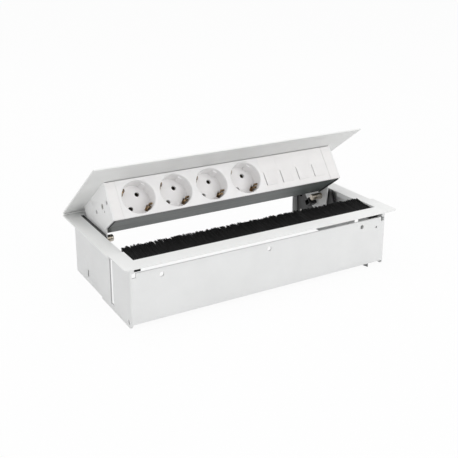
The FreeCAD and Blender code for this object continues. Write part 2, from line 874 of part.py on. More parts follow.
def makeRivets(side, sign):
    """Two rivets hold each end plate's tab to the lid's underside."""
    rivets = []
    middle = sideways(sign, "endInX - tabWidth / 2", "endInX - tabWidth / 2")
    for index, forward in enumerate(("rivetPlaceA", "rivetPlaceB")):
        name = "rivet_%s_%d" % (side, index)
        at = (middle, "-(%s)" % forward, "-tabThick - rivetHead")
        rivets.append(rod(name, at, "z", "rivetRadius", "rivetHead"))
    keepTilted("lid_rivets_" + side, group("lid_rivets_%s_group" % side, *rivets))


def makeEndScrew(side, sign):
    """A flush screw through each end plate and gasket into the housing's end."""
    at = ("-endScrewForward", "-endScrewDown")
    name = "end_screw_" + side
    head = rod(name + "_head", (sideways(sign, "endInX", "endOutX"), *at), "x", "endScrewRadius", "endThick")
    reach = "gasketThick + endScrewRadius"
    low = sideways(sign, "endInX - (%s)" % reach, "endInX")
    shank = rod(name + "_shank", (low, *at), "x", "screwRadius", reach)
    keepTilted(name, fuse(name + "_solid", head, shank))


def makeGaskets():
    for side, sign in sides:
        body = newBody("end_gasket_%s_body" % side)
        low = sideways(sign, "housingX", "endInX")
        sketch = newSketch(body, "gasket_outline_" + side, "YZ_Plane", low)
        drawRectangle(
            sketch,
            ("-plateBack", "-panelBottom - gasketProud"),
            ("gasketProud - housingRear", "-tabThick"),
        )
        drawCircle(sketch, ("-endScrewForward", "-endScrewDown"), "screwRadius")
        pad(body, sketch, "gasketThick")
        keepTilted("end_gasket_" + side, body)


def makeGuidePins():
    for side, sign in sides:
        name = "guide_pin_" + side
        reach = "pinReach" + side.capitalize()
        at = ("-pinForward", "-pinDown")
        whole = "%s - pinChamfer + guideOutX - slotPlay - endInX" % reach
        low = sideways(sign, "endInX - %s + pinChamfer" % reach, "guideOutX - slotPlay")
        shaft = rod(name + "_shaft", (low, *at), "x", "pinRadius", whole)
        tipLow = sideways(sign, "endInX - " + reach, "(endInX - %s + pinChamfer)" % reach)
        radii = ["pinRadius - pinChamfer", "pinRadius"]
        if sign < 0:
            radii.reverse()
        tip = cone(name + "_tip", (tipLow, *at), "x", *radii, "pinChamfer")
        keepTilted(name, fuse(name + "_solid", shaft, tip))
        name = "rear_pin_" + side
        whole = "guideOutX - slotPlay - endInX"
        low = sideways(sign, "endInX", "guideOutX - slotPlay")
        at = ("-rearPinForward", "-rearPinDown")
        shaft = rod(name + "_shaft", (low, *at), "x", "rearPinRadius", whole)
        low = sideways(sign, "endInX - endThick", "endInX")
        head = rod(name + "_head", (low, *at), "x", "rearPinHead", "endThick")
        keepTilted(name, fuse(name + "_solid", shaft, head))


# Earthed sockets, each turned in its square plate


def socketTools(name, parts):
    """Puts items drawn about a socket's own centre, pins along X and earth along Z, at the socket's turn."""
    tool = parts[0] if len(parts) == 1 else fuse(name, *parts)
    held = group(name + "_turned", tool)
    turn(held, yAxis, "-socketTurn")
    place(held, ("0", "0", "-socketDown"))
    return held


def pinHoles(name, start, length):
    holes = []
    for index, x in enumerate(("-pinPitch / 2", "pinPitch / 2")):
        holes.append(rod("%s_%d" % (name, index), (x, start, "0"), "y", "pinHoleRadius", length))
    return holes


def makeSocket(which):
    name = "socket_insert_%d" % which
    plate = block(
        name + "_plate",
        ("-modulePitch / 2", "-panelFront", "-panelBottom"),
        ("modulePitch", "plateThick", "moduleHeight"),
    )
    mouth = ("0", "-panelFront", "-socketDown")
    cup = rod(name + "_cup", mouth, "y", "cupRadius", "recessDepth + floorThick")
    recess = rod(name + "_recess", mouth, "y", "recessRadius", "recessDepth")
    rim = cone(name + "_rim", mouth, "y", "recessRadius + rimChamfer", "recessRadius", "rimChamfer")
    cuts = pinHoles(name + "_pins", "-floorFront", "floorThick")
    for index, low in enumerate(("clipRadius - clipKnee - slotPlay", "-clipRadius - slotPlay")):
        cuts.append(
            block(
                "%s_slot_%d" % (name, index),
                ("-strapWidth / 2 - slotPlay", "-floorFront", low),
                ("strapWidth + 2 * slotPlay", "floorThick", "clipKnee + 2 * slotPlay"),
            )
        )
    shell = fuse(name + "_shell", plate, cup)
    hollow = cut(name + "_hollow", shell, recess, rim, socketTools(name + "_cuts", cuts))
    ribs = []
    for index, low in enumerate(("recessRadius - ribThick", "-recessRadius - cupWall / 2")):
        ribs.append(
            block(
                "%s_rib_%d" % (name, index),
                (low, "ribStop - panelFront", "-ribWidth / 2"),
                ("ribThick + cupWall / 2", "recessDepth - ribStop", "ribWidth"),
            )
        )
    whole = fuse(name + "_solid", hollow, socketTools(name + "_ribs", ribs))
    keepTilted(name, whole, "firstSocket + %d * modulePitch" % (which - 1))


def makeEarthStrap(which):
    """A bent strap: a bar behind the socket's floor and a sprung clip through each floor slot."""
    name = "earth_strap_%d" % which
    clip = newBody(name + "_clip")
    sketch = newSketch(clip, name + "_bend", "YZ_Plane", "-strapWidth / 2")
    rear = "-strapBack"
    drawOutline(
        sketch,
        [
            (rear, "0"),
            (rear, "clipRadius"),
            (rear + " - clipBend", "clipRadius"),
            (rear + " - clipKneePlace", "clipRadius - clipKnee + strapThick"),
            (rear + " - clipReach", "clipRadius"),
            (rear + " - clipReach", "clipRadius - strapThick"),
            (rear + " - clipKneePlace", "clipRadius - clipKnee"),
            (rear + " - clipBend", "clipRadius - strapThick"),
            (rear + " - strapThick", "clipRadius - strapThick"),
            (rear + " - strapThick", "0"),
        ],
    )
    pad(clip, sketch, "strapWidth")
    other = doc.addObject("Part::Mirroring", name + "_other")
    other.Source = clip
    other.Normal = FreeCAD.Vector(0, 0, 1)
    strap = fuse(name + "_both", clip, other)
    turned = group(name, socketTools(name + "_strap", [strap]))
    keepTilted(name, turned, "firstSocket + %d * modulePitch" % (which - 1))


def makeContacts():
    offset = "pinPitch / 2 * sin(socketTurn * 1deg)"
    for index, sign in enumerate(("-", "+"), start=1):
        name = "contact_rail_%d" % index
        low = "-socketDown %s %s - railBarHeight / 2" % (sign, offset)
        bar = block(
            name + "_bar",
            ("firstSocket - railBarEnd", "-railFront", low),
            ("3 * modulePitch + 2 * railBarEnd", "railBarThick", "railBarHeight"),
        )
        keepTilted(name, cut(name, bar, *rowOfHoles(name, "-railFront", "railBarThick")))
    name = "contact_carrier"
    body = block(
        name + "_block",
        ("firstSocket - modulePitch / 2 + carrierEndGap", "-railBack", "-socketDown - carrierHeight / 2"),
        ("4 * modulePitch - 2 * carrierEndGap", "carrierDepth", "carrierHeight"),
    )
    keepTilted(name, cut(name, body, *rowOfHoles(name, "-railBack", "carrierDepth - housingWall")))


def rowOfHoles(name, start, length):
    rows = []
    for index in range(4):
        tag = "%s_socket_%d" % (name, index + 1)
        held = socketTools(tag, pinHoles(tag + "_pin", start, length))
        bind(held, "Placement.Base.x", "firstSocket + %d * modulePitch" % index)
        rows.append(held)
    return rows


# Blank data modules and the narrow strips at the panel's ends


def makeBlank(which):
    name = "blank_module_%d" % which
    plate = block(
        name + "_plate",
        ("0", "-panelFront", "-panelBottom"),
        ("blankPitch", "plateThick", "moduleHeight"),
    )
    back = block(
        name + "_back",
        ("(blankPitch - blankBodyWidth) / 2", "-plateBack", "-socketDown - blankBodyHeight / 2"),
        ("blankBodyWidth", "blankBodyDepth", "blankBodyHeight"),
    )
    flap = newBody(name + "_flap")
    sketch = newSketch(flap, name + "_wedge", "YZ_Plane", "flapSide")
    drawOutline(
        sketch,
        [
            ("-panelFront", "-flapDrop"),
            ("-panelFront - flapLift", "-flapDrop - flapHeight"),
            ("-panelFront", "-flapDrop - flapHeight"),
        ],
    )
    pad(flap, sketch, "flapWidth")
    slit = block(
        name + "_slit",
        ("flapSide - slitWidth", "-panelFront", "-flapDrop - flapHeight"),
        ("slitWidth", "plateThick", "flapHeight"),
    )
    whole = cut(name + "_solid", fuse(name + "_sum", plate, back, flap), slit)
    keepTilted(name, whole, "firstBlank + %d * blankPitch" % (which - 1))


def makeEndStrips():
    ends = (
        ("left", "-unitLength / 2", "(stripLeft - stripSeamLeft)"),
        ("right", "unitLength / 2 - (stripRight - stripSeamRight)", "(stripRight - stripSeamRight)"),
    )
    for side, low, width in ends:
        name = "end_strip_" + side
        corner = (low, "-panelFront", "-panelBottom")
        plate = block(name + "_plate", corner, (width, "plateThick", "moduleHeight"))
        clip = block(
            name + "_clip",
            ("%s + (%s - stripClipWidth) / 2" % (low, width), "-plateBack", "-panelBottom + housingWall"),
            ("stripClipWidth", "stripClipDepth", "moduleHeight - 2 * housingWall"),
        )
        keepTilted(name, fuse(name + "_solid", plate, clip))


# Mains inlet on the right end plate, and the terminal block inside the housing


def makeInlet():
    shell = block(
        "inlet_shell",
        ("endInX - inletWidth", "-inletRear - inletDepth", "-inletDown - inletHeight"),
        ("inletWidth", "inletDepth", "inletHeight"),
    )
    hollow = block(
        "inlet_hollow",
        (
            "endInX - inletWidth",
            "-inletRear - inletDepth + inletWall",
            "inletWall - inletDown - inletHeight",
        ),
        ("inletPocket", "inletDepth - 2 * inletWall", "inletHeight - 2 * inletWall"),
    )
    keepTilted("power_inlet", cut("power_inlet_solid", shell, hollow))


def makeTerminalBlock():
    item = block(
        "terminal_block_body",
        (
            "firstBlank + blankPitch / 2",
            "-housingRear - housingWall - terminalDepth",
            "-socketDown - terminalHeight / 2",
        ),
        ("terminalWidth", "terminalDepth", "terminalHeight"),
    )
    keepTilted("terminal_block", group("terminal_block_solid", item))


makeTopFrame()
makeFrontShell()
makeSidePanels()
makeFoot()
makeBrush()
makeGuidePlates()
makeLid()
makeHousing()
makeEndPlates()
makeGaskets()
makeGuidePins()
for socketNumber in range(1, 5):
    makeSocket(socketNumber)
    makeEarthStrap(socketNumber)
makeContacts()
for blankNumber in range(1, 5):
    makeBlank(blankNumber)
makeEndStrips()
makeInlet()
makeTerminalBlock()
doc.recompute()

broken = [item.Name for item in doc.Objects if "Invalid" in item.State or "Error" in item.State]
for item in nodes:
    if item.Shape.isNull() or not item.Shape.isValid() or not item.Shape.Solids:
        broken.append(item.Label)
if broken:
    raise ValueError("not built: " + ", ".join(broken))

os.makedirs("parts", exist_ok=True)
for item in nodes:
    item.Shape.exportStep("parts/%s.step" % item.Label)
    print("%-20s solids %d volume %.1f" % (item.Label, len(item.Shape.Solids), item.Shape.Volume))
print("sub-parts:", len(nodes))
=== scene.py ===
import json
import math
import random
import bpy
import bmesh
from mathutils import Matrix, Vector


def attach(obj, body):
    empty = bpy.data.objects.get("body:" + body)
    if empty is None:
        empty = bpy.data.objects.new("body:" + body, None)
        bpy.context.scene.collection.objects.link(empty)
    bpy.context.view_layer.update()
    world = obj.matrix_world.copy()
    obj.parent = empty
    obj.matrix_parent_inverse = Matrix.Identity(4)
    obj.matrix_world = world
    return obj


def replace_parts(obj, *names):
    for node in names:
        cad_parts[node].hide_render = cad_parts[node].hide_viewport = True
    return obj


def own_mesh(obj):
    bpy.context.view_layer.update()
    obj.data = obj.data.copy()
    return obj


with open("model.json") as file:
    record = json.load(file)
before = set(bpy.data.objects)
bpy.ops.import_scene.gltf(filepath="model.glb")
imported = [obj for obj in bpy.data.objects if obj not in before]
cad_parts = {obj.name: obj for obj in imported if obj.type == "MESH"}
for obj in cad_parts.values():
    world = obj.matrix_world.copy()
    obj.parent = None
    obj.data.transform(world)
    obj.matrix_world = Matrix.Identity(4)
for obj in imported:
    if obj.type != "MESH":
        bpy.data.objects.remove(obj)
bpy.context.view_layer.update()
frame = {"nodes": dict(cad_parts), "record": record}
mm = 0.001
print("frame loaded,", len(frame["nodes"]), "nodes")

# where the unit tilts, in millimetres and degrees: the lid's rear lower edge
tilt = {"y": 91.5, "z": 1.7, "angle": 36.3}
opened = Matrix.Rotation(-math.radians(tilt["angle"]), 4, "X")
tiltPlace = Matrix.Translation((0, tilt["y"] * mm, tilt["z"] * mm)) @ opened


# Node helpers

def newMaterial(name):
    made = bpy.data.materials.new(name)
    made.use_nodes = True
    tree = made.node_tree
    shader = tree.nodes["Principled BSDF"]
    where = tree.nodes.new("ShaderNodeTexCoord")
    return made, tree, shader, where.outputs["Object"]


def addNoise(tree, where, scale, detail=2.0, rough=0.5, stretch=None):
    if stretch:
        squeeze = tree.nodes.new("ShaderNodeMapping")
        squeeze.inputs["Scale"].default_value = stretch
        tree.links.new(where, squeeze.inputs["Vector"])
        where = squeeze.outputs["Vector"]
    noise = tree.nodes.new("ShaderNodeTexNoise")
    noise.inputs["Scale"].default_value = scale
    noise.inputs["Detail"].default_value = detail
    noise.inputs["Roughness"].default_value = rough
    tree.links.new(where, noise.inputs["Vector"])
    return noise.outputs["Fac"]


def spread(tree, source, low, high, start=0.3, end=0.7):
    ranged = tree.nodes.new("ShaderNodeMapRange")
    ranged.inputs["From Min"].default_value = start
    ranged.inputs["From Max"].default_value = end
    ranged.inputs["To Min"].default_value = low
    ranged.inputs["To Max"].default_value = high
    tree.links.new(source, ranged.inputs["Value"])
    return ranged.outputs["Result"]


def tint(tree, source, colourA, colourB, start=0.35, end=0.65):
    ramp = tree.nodes.new("ShaderNodeValToRGB")
    ramp.color_ramp.elements[0].position = start
    ramp.color_ramp.elements[0].color = (*colourA, 1)
    ramp.color_ramp.elements[1].position = end
    ramp.color_ramp.elements[1].color = (*colourB, 1)
    tree.links.new(source, ramp.inputs["Fac"])
    return ramp.outputs["Color"]


def relief(tree, shader, source, strength, distance, under=None):
    bump = tree.nodes.new("ShaderNodeBump")
    bump.inputs["Strength"].default_value = strength
    bump.inputs["Distance"].default_value = distance
    tree.links.new(source, bump.inputs["Height"])
    if under:
        tree.links.new(under, bump.inputs["Normal"])
    tree.links.new(bump.outputs["Normal"], shader.inputs["Normal"])
    return bump.outputs["Normal"]


def shade(colour, factor):
    return tuple(min(1.0, channel * factor) for channel in colour)


# Finishes: noise scales are per metre, and relief depths are in metres

paint = {
    "dustScale": 22,
    "dustDark": 0.975,
    "dustLight": 1.012,
    "patchScale": 60,
    "roughBelow": 0.05,
    "roughAbove": 0.06,
    "waveScale": 240,
    "waveStrength": 0.10,
    "waveDepth": 0.00025,
    "peelScale": 1300,
    "peelStrength": 0.12,
    "peelDepth": 0.00006,
    "specular": 0.42,
}


def powderCoat(name, colour, roughness):
    # baked white paint: a fine orange peel over a slow waviness, and a little handling dust
    made, tree, shader, where = newMaterial(name)
    dust = addNoise(tree, where, paint["dustScale"], detail=4, rough=0.62)
    dusty = tint(tree, dust, shade(colour, paint["dustDark"]), shade(colour, paint["dustLight"]))
    tree.links.new(dusty, shader.inputs["Base Color"])
    patches = addNoise(tree, where, paint["patchScale"], detail=3)
    rough = spread(tree, patches, roughness - paint["roughBelow"], roughness + paint["roughAbove"])
    tree.links.new(rough, shader.inputs["Roughness"])
    swell = addNoise(tree, where, paint["waveScale"], detail=2)
    wave = relief(tree, shader, swell, paint["waveStrength"], paint["waveDepth"])
    peel = addNoise(tree, where, paint["peelScale"], detail=3)
    relief(tree, shader, peel, paint["peelStrength"], paint["peelDepth"], wave)
    shader.inputs["Specular IOR Level"].default_value = paint["specular"]
    return made


whitePlastic = {
    "flowScale": 45,
    "flowStretch": (1, 1, 2.4),
    "flowDark": 0.985,
    "flowLight": 1.01,
    "roughBelow": 0.04,
    "roughAbove": 0.05,
    "grainScale": 2600,
    "grainStrength": 0.06,
    "grainDepth": 0.00004,
    "specular": 0.5,
}


def mouldedWhite(name, colour, roughness):
    # injection-moulded plastic: nearly smooth, faint flow marks and a fine spark-eroded grain
    made, tree, shader, where = newMaterial(name)
    stretch = whitePlastic["flowStretch"]
    flow = addNoise(tree, where, whitePlastic["flowScale"], detail=3, rough=0.55, stretch=stretch)
    dark = shade(colour, whitePlastic["flowDark"])
    marked = tint(tree, flow, dark, shade(colour, whitePlastic["flowLight"]))
    tree.links.new(marked, shader.inputs["Base Color"])
    low = roughness - whitePlastic["roughBelow"]
    rough = spread(tree, flow, low, roughness + whitePlastic["roughAbove"])
    tree.links.new(rough, shader.inputs["Roughness"])
    grain = addNoise(tree, where, whitePlastic["grainScale"], detail=2)
    relief(tree, shader, grain, whitePlastic["grainStrength"], whitePlastic["grainDepth"])
    shader.inputs["Specular IOR Level"].default_value = whitePlastic["specular"]
    return made


blackPlastic = {
    "scuffScale": 130,
    "scuffDark": 0.7,
    "scuffLight": 1.9,
    "roughBelow": 0.1,
    "roughAbove": 0.12,
    "grainStrength": 0.25,
    "grainDepth": 0.0001,
}


def mouldedBlack(name, colour, roughness, grain):
    # grained dark plastic with scuffs, whose grain differs from piece to piece
    made, tree, shader, where = newMaterial(name)
    scuff = addNoise(tree, where, blackPlastic["scuffScale"], detail=5, rough=0.65)
    dark = shade(colour, blackPlastic["scuffDark"])
    worn = tint(tree, scuff, dark, shade(colour, blackPlastic["scuffLight"]), start=0.3, end=0.8)
    tree.links.new(worn, shader.inputs["Base Color"])
    low = roughness - blackPlastic["roughBelow"]
    rough = spread(tree, scuff, low, roughness + blackPlastic["roughAbove"])
    tree.links.new(rough, shader.inputs["Roughness"])
    pits = addNoise(tree, where, grain, detail=3)
    relief(tree, shader, pits, blackPlastic["grainStrength"], blackPlastic["grainDepth"])
    return made


profileCoat = {
    "lineScale": 900,
    "lineStretch": (0.012, 1, 1),
    "lineStrength": 0.10,
    "lineDepth": 0.00008,
    "cloudScale": 14,
    "cloudDark": 0.86,
    "cloudLight": 1.2,
    "smooth": 0.34,
    "rough": 0.5,
    "metallic": 0.1,
    "specular": 0.27,
}


def drawnProfile(name, colour):
    # coated extrusion: long draw lines along X under a satin coat
    made, tree, shader, where = newMaterial(name)
    stretch = profileCoat["lineStretch"]
    lines = addNoise(tree, where, profileCoat["lineScale"], detail=3, rough=0.6, stretch=stretch)
    cloud = addNoise(tree, where, profileCoat["cloudScale"], detail=3)
    dark = shade(colour, profileCoat["cloudDark"])
    coat = tint(tree, cloud, dark, shade(colour, profileCoat["cloudLight"]), start=0.3, end=0.7)
    tree.links.new(coat, shader.inputs["Base Color"])
    rough = spread(tree, lines, profileCoat["smooth"], profileCoat["rough"])
    tree.links.new(rough, shader.inputs["Roughness"])
    relief(tree, shader, lines, profileCoat["lineStrength"], profileCoat["lineDepth"])
    shader.inputs["Metallic"].default_value = profileCoat["metallic"]
    shader.inputs["Specular IOR Level"].default_value = profileCoat["specular"]
    return made


steel = {
    "markScale": 2400,
    "markStretch": {"x": (1, 0.05, 0.05), "z": (0.05, 0.05, 1)},
    "markStrength": 0.2,
    "markDepth": 0.00005,
    "patchScale": 210,
    "smooth": 0.22,
    "rough": 0.42,
}


def turnedSteel(name, colour, along, tarnish):
    # bright steel with tool marks round the axis and dull brown patches
    made, tree, shader, where = newMaterial(name)
    stretch = steel["markStretch"][along]
    marks = addNoise(tree, where, steel["markScale"], detail=3, rough=0.6, stretch=stretch)
    patch = addNoise(tree, where, steel["patchScale"], detail=4, rough=0.65)
    worn = tint(tree, patch, tarnish, colour, start=0.36, end=0.62)
    tree.links.new(worn, shader.inputs["Base Color"])
    tree.links.new(spread(tree, marks, steel["smooth"], steel["rough"]), shader.inputs["Roughness"])
    relief(tree, shader, marks, steel["markStrength"], steel["markDepth"])
    shader.inputs["Metallic"].default_value = 1.0
    return made


brass = {
    "patchScale": 260,
    "patchDark": 0.22,
    "rollScale": 1800,
    "rollStretch": (1, 0.06, 1),
    "rollStrength": 0.15,
    "rollDepth": 0.00004,
    "smooth": 0.22,
    "rough": 0.4,
}


def springBrass(name, colour):
    # rolled brass strip with dark tarnish
    made, tree, shader, where = newMaterial(name)
    patch = addNoise(tree, where, brass["patchScale"], detail=4, rough=0.6)
    tarnished = tint(tree, patch, shade(colour, brass["patchDark"]), colour, start=0.4, end=0.6)
    tree.links.new(tarnished, shader.inputs["Base Color"])
    roll = addNoise(tree, where, brass["rollScale"], detail=2, stretch=brass["rollStretch"])
    tree.links.new(spread(tree, roll, brass["smooth"], brass["rough"]), shader.inputs["Roughness"])
    relief(tree, shader, roll, brass["rollStrength"], brass["rollDepth"])
    shader.inputs["Metallic"].default_value = 1.0
    return made


nylon = {
    "clumpScale": 420,
    "clumpStretch": (1, 0.25, 1),
    "clumpDark": 0.6,
    "clumpLight": 2.2,
    "smooth": 0.5,
    "rough": 0.7,
    "specular": 0.14,
}


def nylonBristle(name, colour):
    # dull black strands, a little lighter in clumps
    made, tree, shader, where = newMaterial(name)
    stretch = nylon["clumpStretch"]
    clump = addNoise(tree, where, nylon["clumpScale"], detail=3, rough=0.6, stretch=stretch)
    dark = shade(colour, nylon["clumpDark"])
    worn = tint(tree, clump, dark, shade(colour, nylon["clumpLight"]), start=0.35, end=0.75)
    tree.links.new(worn, shader.inputs["Base Color"])
    tree.links.new(spread(tree, clump, nylon["smooth"], nylon["rough"]), shader.inputs["Roughness"])
    shader.inputs["Specular IOR Level"].default_value = nylon["specular"]
    return made


# one finish for each material slot of the record, with its linear colour and roughness
finishes = {
    "frame_paint": powderCoat("framePaint", (0.845, 0.85, 0.843), 0.44),
    # box_paint is the frame's white made darker, so the walls keep their shade under the strong left
    # lamp: painted shade
    "box_paint": powderCoat("boxPaintPaintedShade", (0.805, 0.81, 0.808), 0.46),
    "lid_paint": powderCoat("lidPaint", (0.84, 0.845, 0.835), 0.44),
    # unit_paint is the same white made lighter, to brighten the end plates in the lid's shadow: painted
    # light
    "unit_paint": powderCoat("unitPaintPaintedLight", (0.9, 0.902, 0.9), 0.42),
    "housing_grey": drawnProfile("housingGrey", (0.056, 0.068, 0.066)),
    "guide_black": mouldedBlack("guideBlack", (0.012, 0.012, 0.013), 0.42, 1500),
    "brush_rail_black": mouldedBlack("brushRailBlack", (0.011, 0.011, 0.012), 0.5, 1800),
    "bristle_black": nylonBristle("bristleBlack", (0.0052, 0.0052, 0.0054)),
    "gasket_black": mouldedBlack("gasketBlack", (0.01, 0.011, 0.013), 0.6, 2200),
    "socket_white": mouldedWhite("socketWhite", (0.93, 0.92, 0.92), 0.16),
    "blank_white": mouldedWhite("blankWhite", (0.915, 0.9, 0.895), 0.34),
    "contact_brass": springBrass("contactBrass", (0.42, 0.29, 0.16)),
    "carrier_grey": mouldedBlack("carrierGrey", (0.06, 0.06, 0.062), 0.55, 1500),
    "pin_steel": turnedSteel("pinSteel", (0.52, 0.49, 0.44), "x", (0.24, 0.2, 0.15)),
    "screw_steel": turnedSteel("screwSteel", (0.58, 0.57, 0.55), "z", (0.38, 0.37, 0.35)),
    "inlet_black": mouldedBlack("inletBlack", (0.012, 0.012, 0.013), 0.38, 1500),
    "foot_black": mouldedBlack("footBlack", (0.12, 0.12, 0.12), 0.6, 1800),
}
slotOf = {part["node"]: part["material_slot"] for part in frame["record"]["subparts"]}
bodyOf = {name: body for body, names in frame["record"]["behaviour"]["bodies"].items() for name in names}
for name, node in frame["nodes"].items():
    node.data.materials.clear()
    node.data.materials.append(finishes[slotOf[name]])
print("finishes made,", len(finishes))


# Shared mesh steps

def addObject(name, data):
    item = bpy.data.objects.new(name, data)
    bpy.context.scene.collection.objects.link(item)
    return item


def addPiece(name, mesh, node):
    # a finished mesh that stands for a node, moving with that node's body
    piece = addObject(name, mesh)
    mesh.materials.clear()
    mesh.materials.append(finishes[slotOf[node]])
    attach(piece, bodyOf[node])
    return piece


def smoothBelow(mesh, degrees):
    mesh.polygons.foreach_set("use_smooth", [True] * len(mesh.polygons))
    mesh.set_sharp_from_angle(angle=math.radians(degrees))


def boxSize(size):
    return Matrix.Diagonal((*(side * mm for side in size), 1))


def cutBoxes(mesh, boxes):
    # the mesh less some boxes, each given as the matrix of a unit cube
    body = addObject("cutBody", mesh)
    work = bmesh.new()
    for box in boxes:
        bmesh.ops.create_cube(work, size=1, matrix=box)
    cutterMesh = bpy.data.meshes.new("cutter")
    work.to_mesh(cutterMesh)
    work.free()
    cutter = addObject("cutter", cutterMesh)
    removal = body.modifiers.new("cut", "BOOLEAN")
    removal.operation = "DIFFERENCE"
    removal.solver = "EXACT"
    removal.use_self = True
    removal.object = cutter
    bpy.context.view_layer.update()
    made = bpy.data.meshes.new_from_object(body.evaluated_get(bpy.context.evaluated_depsgraph_get()))
    bpy.data.objects.remove(body)
    bpy.data.objects.remove(cutter)
    return made


softEdge = {
    "weld": 2e-6,  # metres
    "flatAngle": 0.6,
    "smoothAngle": 32,
    "roundedAngle": 28,
    "segments": 2,
}


def softEdged(node, radius, cuts=()):
    # the node's own form with its folded, cut or moulded edges rounded
    mesh = frame["nodes"][node].data.copy()
    work = bmesh.new()
    work.from_mesh(mesh)
    bmesh.ops.remove_doubles(work, verts=work.verts, dist=softEdge["weld"])
    flat = math.radians(softEdge["flatAngle"])
    bmesh.ops.dissolve_limit(work, angle_limit=flat, verts=work.verts, edges=work.edges)
    work.to_mesh(mesh)
    work.free()
    if cuts:
        mesh = cutBoxes(mesh, cuts)
    mesh.name = node + "_soft"
    piece = addPiece(node + "_soft", mesh, node)
    smoothBelow(mesh, softEdge["smoothAngle"])
    edge = piece.modifiers.new("edge", "BEVEL")
    edge.width = radius * mm
    edge.segments = softEdge["segments"]
    edge.limit_method = "ANGLE"
    edge.angle_limit = math.radians(softEdge["roundedAngle"])
    edge.use_clamp_overlap = True
    edge.harden_normals = True
    edge.miter_outer = "MITER_ARC"
    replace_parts(piece, node)


# Edge radii in millimetres: first sheet metal, laser-cut and folded, under paint

sheetEdges = {
    "top_frame": 0.35,
    "front_shell": 0.25,
    "side_panel_left": 0.25,
    "side_panel_right": 0.25,
    "lid": 0.4,
    "end_plate_left": 0.25,
    "end_plate_right": 0.25,
    "unit_housing": 0.3,
}
for name, radius in sheetEdges.items():
    softEdged(name, radius)

# Mouldings
mouldedEdges = {
    "guide_plate_left": 0.4,
    "guide_plate_right": 0.4,
    "power_inlet": 0.6,
    "front_foot": 0.5,
    "end_gasket_left": 0.2,
    "end_gasket_right": 0.2,
    "brush_rail": 0.4,
    "end_strip_left": 0.18,
    "end_strip_right": 0.18,
    "terminal_block": 0.6,
}
for number in range(1, 5):
    mouldedEdges["socket_insert_%d" % number] = 0.22
    mouldedEdges["blank_module_%d" % number] = 0.18
for name, radius in mouldedEdges.items():
    softEdged(name, radius)

# Metal parts
metalEdges = {
    "guide_pin_left": 0.6,
    "guide_pin_right": 0.6,
    "rear_pin_left": 0.4,
    "rear_pin_right": 0.4,
}
for name, radius in metalEdges.items():
    softEdged(name, radius)

# Earth straps: each sprung clip is a fork of two prongs
earthClip = {
    "first": -114.6,
    "pitch": 45.0,
    "down": 22.1,
    "turn": -53.0,
    "slitWidth": 1.6,
    "slitFront": -92.0,
    "slitRear": -83.5,
    "slitReach": 40.0,  # across both clips of a socket
    "edge": 0.15,
}
for number in range(1, 5):
    centre = (
        (earthClip["first"] + (number - 1) * earthClip["pitch"]) * mm,
        (earthClip["slitFront"] + earthClip["slitRear"]) / 2 * mm,
        -earthClip["down"] * mm,
    )
    turned = Matrix.Rotation(math.radians(earthClip["turn"]), 4, "Y")
    slitLength = earthClip["slitRear"] - earthClip["slitFront"]
    slit = boxSize((earthClip["slitWidth"], slitLength, earthClip["slitReach"]))
    cuts = [tiltPlace @ Matrix.Translation(centre) @ turned @ slit]
    softEdged("earth_strap_%d" % number, earthClip["edge"], cuts)
print("edges rounded")


# Brush: rows of nylon bristles with a ragged rear edge, sizes in millimetres

brush = {
    "half": 153.8,
    "root": -67.7,
    "tip": -40.3,
    "rowLow": -3.1,
    "rowHigh": 1.05,
    "rows": 9,
    "pitch": 0.24,
    "scatter": (0.1, 0.9),  # where in its pitch a strand stands
    "tuftWidth": 1.15,
    "gather": 0.3,  # how far a tuft's strands draw together at their tips
    "ragged": 1.0,  # how far whole tufts end short of or beyond the strip's mean edge
    "stray": 0.14,
    "tipShare": 0.2,  # how much the tufts' rise differs, as a share of it
    "tipHigh": 4.6,  # the level of the loose top strands at their tips
    "tipSpread": 6.5,  # how much lower the lowest strands' tips are
    "sag": -0.4,  # how far a tip may lie below its root
    "sides": 3,
    "radius": 0.18,
    "fan": 0.015,
    "stops": ((0.0, 1.0), (0.55, 1.0), (1.0, 0.75)),  # share of the length, and of the radius there
    "smoothAngle": 80,
    "seed": 11,
    "shutAnchor": -3.4,  # the shut lid presses the real strands down to this level; the strands here keep their open shape
    "shutShare": 0.5,
}


